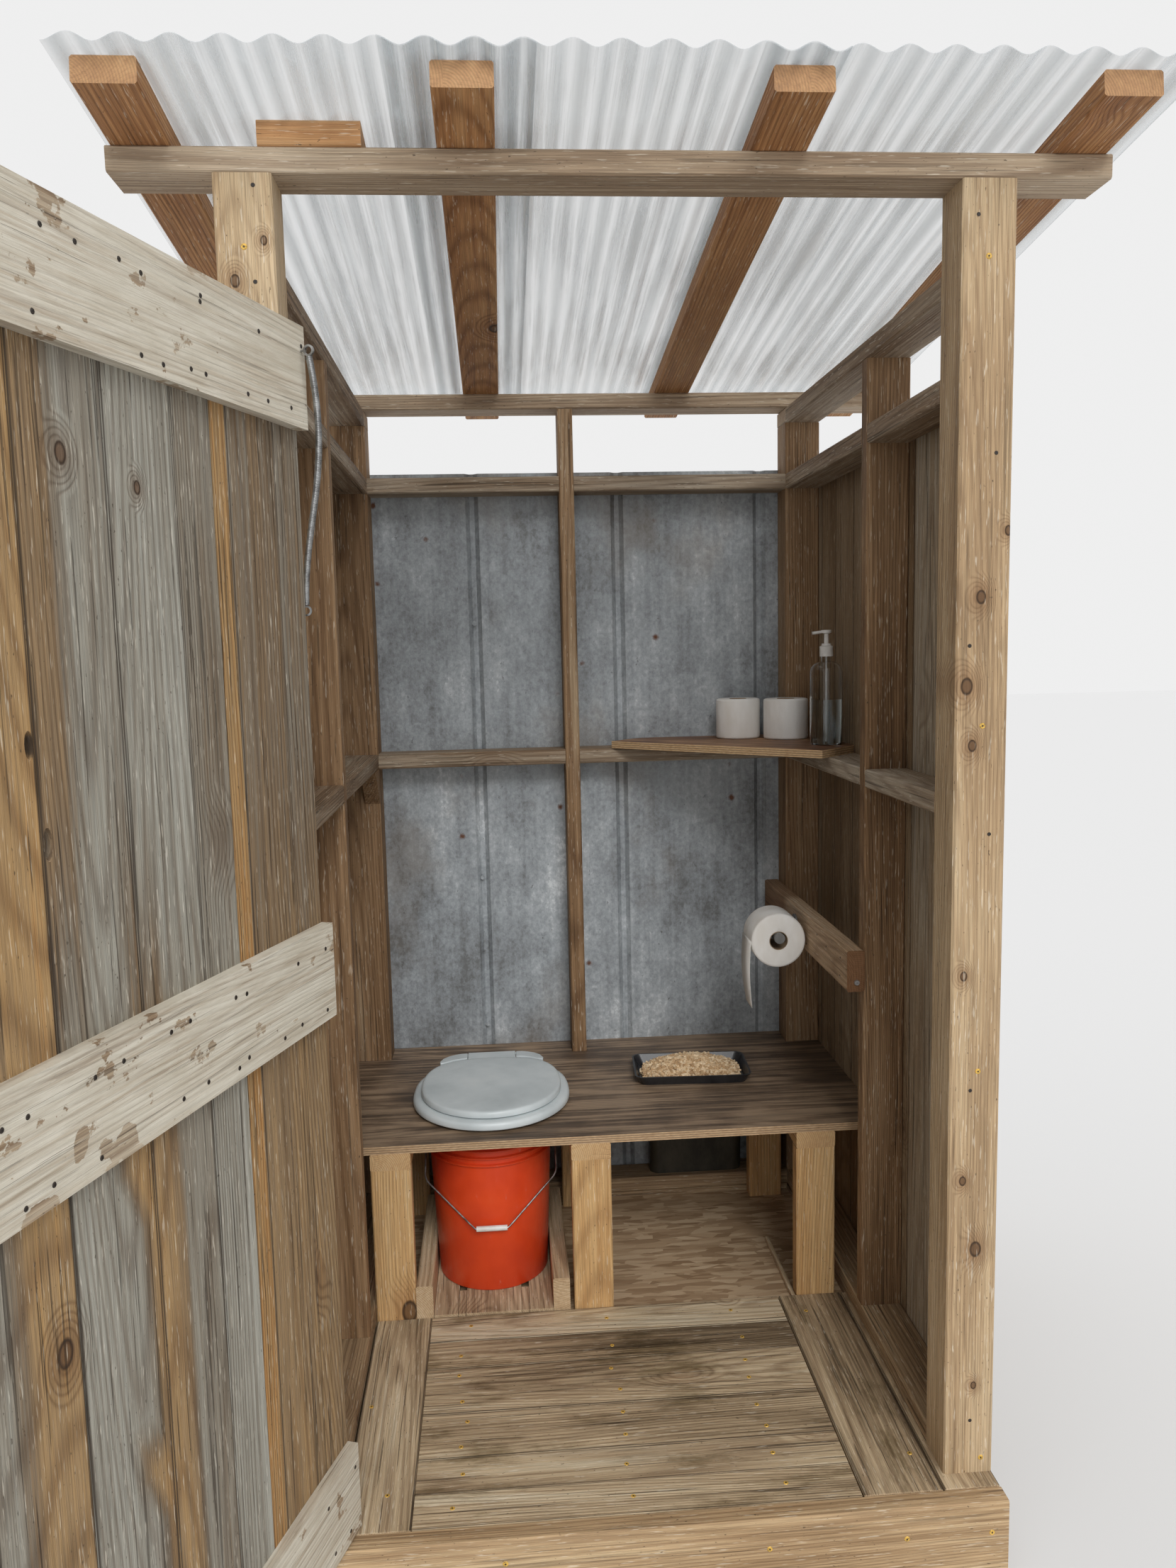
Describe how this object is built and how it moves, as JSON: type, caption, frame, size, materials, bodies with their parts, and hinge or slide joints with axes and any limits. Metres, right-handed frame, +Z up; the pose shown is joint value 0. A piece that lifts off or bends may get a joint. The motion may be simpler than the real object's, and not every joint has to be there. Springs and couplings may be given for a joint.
{
  "type": "wooden outhouse",
  "caption": "Timber outhouse with a lean-to roof of clear corrugated sheet, an open batten door, a plywood bench with a seat over a bucket, a corner shelf and a paper roll.",
  "frame": {"origin": "on the ground, in the middle of the timber frame's footprint, on the middle joist's lower face", "axes": "+Z up, -Y out of the doorway, +X to the right of someone who looks in through the doorway"},
  "size_m": [1.7107, 2.4427, 2.4892],
  "materials": {
    "weathered_boards": "weathered grey and brown",
    "batten_paint": "faded cream wash",
    "floor_boards": "worn",
    "sheet_floor": "strand board",
    "treated_timber": "weathered",
    "post_timber": "aged",
    "rafter_timber": "reddish",
    "bench_timber": "new",
    "plywood": "stained",
    "galvanised_sheet": "zinc with white bloom",
    "clear_sheet": "clear plastic, streaked",
    "grey_plastic": "satin",
    "orange_plastic": "semi-gloss",
    "wire": "galvanised",
    "white_plastic": "plain",
    "clear_bottle": "clear",
    "paper": "soft",
    "dark_steel": "dark",
    "black_plastic": "satin",
    "pellets": "pressed sawdust"
  },
  "bodies": {
    "root": {"bay_floor": "sheet_floor", "bench_bearers": "bench_timber", "bench_legs": "bench_timber", "bench_top": "plywood", "bottom_plates": "treated_timber", "bucket": "orange_plastic", "bucket_boards": "floor_boards", "bucket_rails": "treated_timber", "corner_gusset": "post_timber", "corner_shelf": "plywood", "door_spring": "wire", "floor_border": "floor_boards", "floor_deck": "floor_boards", "floor_joists": "treated_timber", "front_post_left": "post_timber", "front_post_right": "post_timber", "front_sill": "treated_timber", "header": "post_timber", "header_block": "post_timber", "hinge_plates": "dark_steel", "left_wall": "weathered_boards", "middle_girts": "post_timber", "paper_peg": "dark_steel", "paper_rail": "treated_timber", "paper_roll": "paper", "pellet_tray": "black_plastic", "pellets": "pellets", "post_eye": "wire", "pump_bottle": "clear_bottle", "rafter_1": "rafter_timber", "rafter_2": "rafter_timber", "rafter_3": "rafter_timber", "rafter_4": "rafter_timber", "rear_beam": "post_timber", "rear_post_left": "post_timber", "rear_post_right": "post_timber", "rear_stud": "post_timber", "rear_wall": "galvanised_sheet", "right_wall": "weathered_boards", "roof_sheet_left": "clear_sheet", "roof_sheet_middle": "clear_sheet", "roof_sheet_right": "clear_sheet", "side_stud_left": "post_timber", "side_stud_right": "post_timber", "slim_bin": "black_plastic", "spare_rolls": "paper", "toilet_seat": "grey_plastic", "top_plates": "post_timber", "upper_girts": "post_timber"},
    "door": {"door_boards": "weathered_boards", "door_batten_bottom": "batten_paint", "door_batten_middle": "batten_paint", "door_batten_top": "batten_paint", "hinge_straps": "dark_steel", "door_eye": "wire"},
    "toilet_lid": {"toilet_lid": "grey_plastic"},
    "bucket_bail": {"bucket_bail": "wire", "bail_grip": "white_plastic"}
  },
  "joints": [
    {"name": "door_swing", "type": "hinge", "parent": "root", "child": "door", "pos_m": [-0.5355, -0.626, 1.16], "axis": [0, 0, 1], "range_deg": [-50, 108], "deforming": ["door_spring"]},
    {"name": "lid_hinge", "type": "hinge", "parent": "root", "child": "toilet_lid", "pos_m": [-0.26684, 0.437, 0.6065], "axis": [-1, 0, 0], "range_deg": [0, 100]},
    {"name": "bail_swing", "type": "hinge", "parent": "root", "child": "bucket_bail", "pos_m": [-0.27284, 0.195, 0.472], "axis": [-1, 0, 0], "range_deg": [0, 60]}
  ]
}
